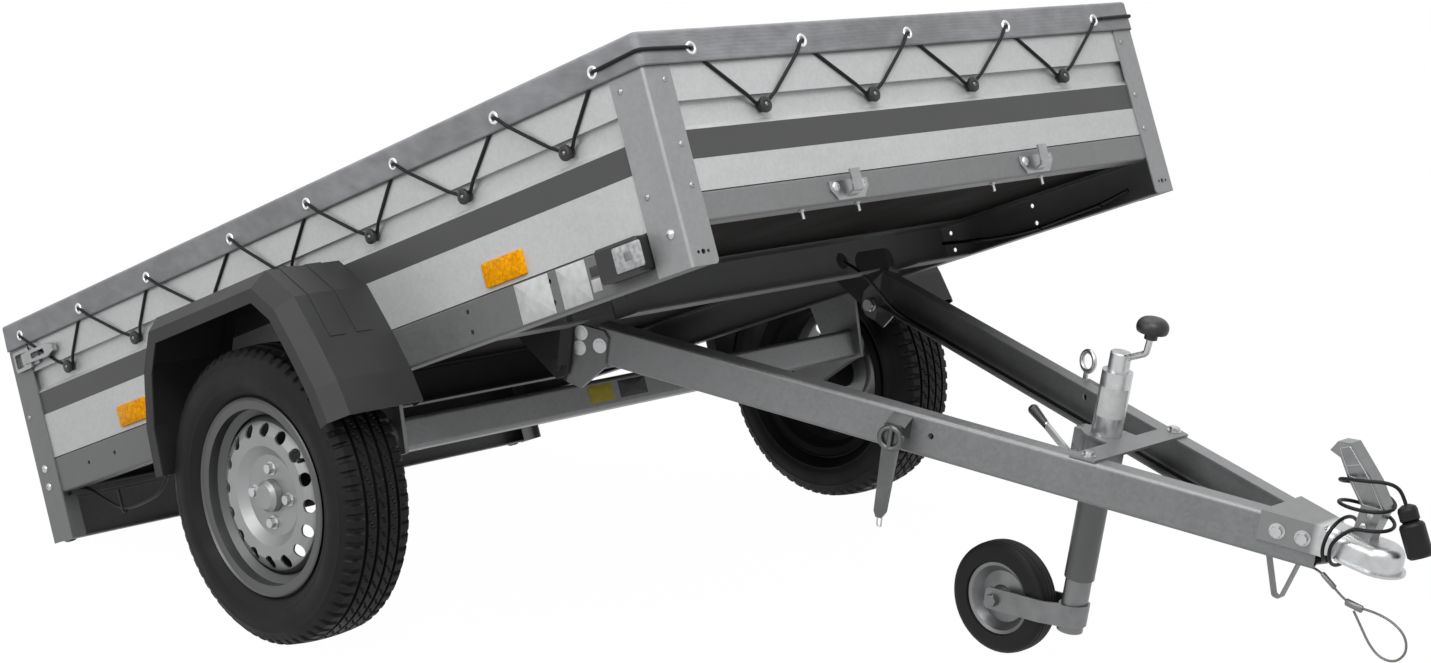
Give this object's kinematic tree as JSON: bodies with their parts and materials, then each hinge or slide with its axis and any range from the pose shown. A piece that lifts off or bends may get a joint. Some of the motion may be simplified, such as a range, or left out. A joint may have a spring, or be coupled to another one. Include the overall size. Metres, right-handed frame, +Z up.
{
  "type": "tipping utility trailer",
  "caption": "Open-frame car trailer with a covered steel load bed tipped back on its tail, a hinged drawbar with a ball coupling, and a jockey wheel.",
  "frame": {"origin": "on the ground, midway between the two tyres' contact patches", "axes": "+X forward to the coupling, +Y to the trailer's left, +Z up"},
  "size_m": [2.9713, 1.71, 1.1097],
  "materials": {
    "galvanised": "galvanised, dull",
    "panel": "galvanised sheet, smooth",
    "zinc": "bright zinc plate",
    "board": "brown film-faced board",
    "tyre": "matt black",
    "wheel_rim": "silver paint",
    "plastic": "grained black",
    "rubber": "matt black",
    "cover": "coated grey tarpaulin",
    "lamp_red": "clear red lens",
    "lamp_clear": "clear lens in a black housing",
    "cord": "matt black sheath",
    "wire": "bright wire rope"
  },
  "bodies": {
    "bed": {"axle": "galvanised", "catch_left": "zinc", "catch_right": "zinc", "cover": "cover", "floor_board": "board", "front_panel": "panel", "front_post_left": "galvanised", "front_post_right": "galvanised", "front_rail": "galvanised", "hinge_member": "galvanised", "marker_lamp_left": "lamp_clear", "marker_lamp_right": "lamp_clear", "middle_member": "galvanised", "mudguard_left": "plastic", "mudguard_right": "plastic", "pivot_bracket_left": "galvanised", "pivot_bracket_right": "galvanised", "rear_beam": "galvanised", "rear_lamp_left": "lamp_red", "rear_lamp_right": "lamp_red", "rear_member": "galvanised", "rear_post_left": "galvanised", "rear_post_right": "galvanised", "side_panel_left": "panel", "side_panel_right": "panel", "side_rail_left": "galvanised", "side_rail_right": "galvanised", "swing_arm_left": "galvanised", "swing_arm_right": "galvanised", "tail_bumper_left": "rubber", "tail_bumper_right": "rubber", "toggle_left": "zinc", "toggle_right": "zinc"},
    "tailgate": {"tailgate": "panel", "cover_flap": "cover"},
    "wheel_left": {"tyre_left": "tyre", "rim_left": "wheel_rim", "hub_left": "zinc"},
    "wheel_right": {"tyre_right": "tyre", "rim_right": "wheel_rim", "hub_right": "zinc"},
    "drawbar": {"clamp_lever": "zinc", "coupler": "zinc", "coupler_lever": "zinc", "cross_plate": "galvanised", "drawbar_beam_left": "galvanised", "drawbar_beam_right": "galvanised", "hinge_plate_left": "galvanised", "hinge_plate_right": "galvanised", "latch_left": "zinc", "latch_right": "zinc", "plug": "cord", "plug_cable": "cord", "safety_wire": "wire", "strap_hook": "galvanised"},
    "jockey_leg": {"leg_tube": "zinc", "crank": "zinc"},
    "jockey_fork": {"jockey_fork": "galvanised"},
    "jockey_wheel": {"jockey_tyre": "tyre", "jockey_rim": "zinc"}
  },
  "joints": [
    {"name": "wheel_left_spin", "type": "hinge", "parent": "bed", "child": "wheel_left", "pos_m": [0, 0.758, 0.2735], "axis": [0, 1, 0], "continuous": true},
    {"name": "wheel_right_spin", "type": "hinge", "parent": "bed", "child": "wheel_right", "pos_m": [0, -0.758, 0.2735], "axis": [0, 1, 0], "continuous": true},
    {"name": "drawbar_fold", "type": "hinge", "parent": "bed", "child": "drawbar", "pos_m": [0.38649, 0, 0.50509], "axis": [0, -1, 0], "range_deg": [0, 30.33]},
    {"name": "tailgate_hinge", "type": "hinge", "parent": "bed", "child": "tailgate", "pos_m": [-1.03079, 0, 0.17115], "axis": [0, -1, 0], "range_deg": [0, 175]},
    {"name": "jockey_slide", "type": "slide", "parent": "drawbar", "child": "jockey_leg", "axis": [0.2051, 0, 0.9788], "range_m": [-0.1, 0.16]},
    {"name": "jockey_swivel", "type": "hinge", "parent": "jockey_leg", "child": "jockey_fork", "pos_m": [1.18232, 0, 0.07068], "axis": [0.2051, 0, 0.9788], "continuous": true},
    {"name": "jockey_spin", "type": "hinge", "parent": "jockey_fork", "child": "jockey_wheel", "pos_m": [1.04236, 0, 0.1], "axis": [0, 1, 0], "continuous": true}
  ]
}
